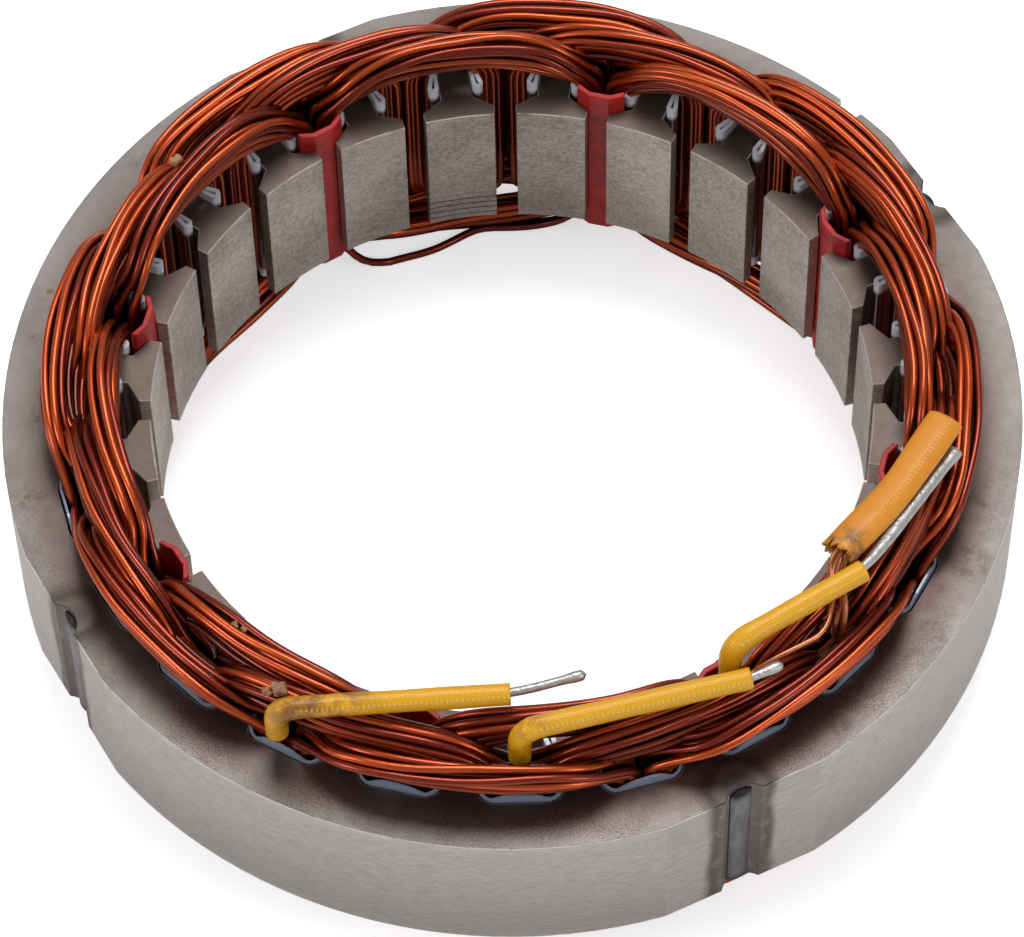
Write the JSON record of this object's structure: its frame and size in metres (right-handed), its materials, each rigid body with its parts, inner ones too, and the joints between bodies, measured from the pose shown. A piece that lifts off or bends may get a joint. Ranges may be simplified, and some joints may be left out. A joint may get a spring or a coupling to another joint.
{
  "type": "wound stator",
  "caption": "Three-phase wound stator: welded lamination ring with open slots, film liners, red wedges, copper coil ends, and sleeved leads on one face.",
  "frame": {"origin": "on the bore's axis, halfway up the lamination stack", "axes": "+Z along the bore towards the lead side, +X through the middle of a slot of the second phase, square to Z"},
  "size_m": [0.127, 0.127, 0.0453],
  "materials": {
    "core_steel": "satin laminated steel with brown varnish stains",
    "weld_metal": "weld bead with heat tint",
    "liner_film": "milky polyester film",
    "wedge_fibre": "red vulcanised fibre",
    "enamelled_wire": "glossy varnished enamel over copper",
    "tinned_wire": "solder-tinned copper",
    "braided_sleeve": "varnished braided glass sleeving",
    "neutral_sleeving": "flattened varnished braided glass sleeving",
    "bare_copper": "soldered bare copper ends"
  },
  "bodies": {
    "root": {"stator_core": "core_steel", "weld_seam_1": "weld_metal", "weld_seam_2": "weld_metal", "weld_seam_3": "weld_metal", "weld_seam_4": "weld_metal", "slot_liner_01": "liner_film", "slot_liner_02": "liner_film", "slot_liner_03": "liner_film", "slot_liner_04": "liner_film", "slot_liner_05": "liner_film", "slot_liner_06": "liner_film", "slot_liner_07": "liner_film", "slot_liner_08": "liner_film", "slot_liner_09": "liner_film", "slot_liner_10": "liner_film", "slot_liner_11": "liner_film", "slot_liner_12": "liner_film", "slot_liner_13": "liner_film", "slot_liner_14": "liner_film", "slot_liner_15": "liner_film", "slot_liner_16": "liner_film", "slot_liner_17": "liner_film", "slot_liner_18": "liner_film", "slot_liner_19": "liner_film", "slot_liner_20": "liner_film", "slot_liner_21": "liner_film", "slot_liner_22": "liner_film", "slot_liner_23": "liner_film", "slot_liner_24": "liner_film", "slot_wedge_1": "wedge_fibre", "slot_wedge_2": "wedge_fibre", "slot_wedge_3": "wedge_fibre", "slot_wedge_4": "wedge_fibre", "slot_wedge_5": "wedge_fibre", "slot_wedge_6": "wedge_fibre", "slot_wedge_7": "wedge_fibre", "slot_wedge_8": "wedge_fibre", "phase_1_winding": "enamelled_wire", "phase_2_winding": "enamelled_wire", "phase_3_winding": "enamelled_wire", "lead_wire_1": "tinned_wire", "lead_wire_2": "tinned_wire", "lead_wire_3": "tinned_wire", "lead_sleeve_1": "braided_sleeve", "lead_sleeve_2": "braided_sleeve", "lead_sleeve_3": "braided_sleeve", "neutral_sleeve": "neutral_sleeving", "neutral_joint": "bare_copper"}
  },
  "joints": []
}
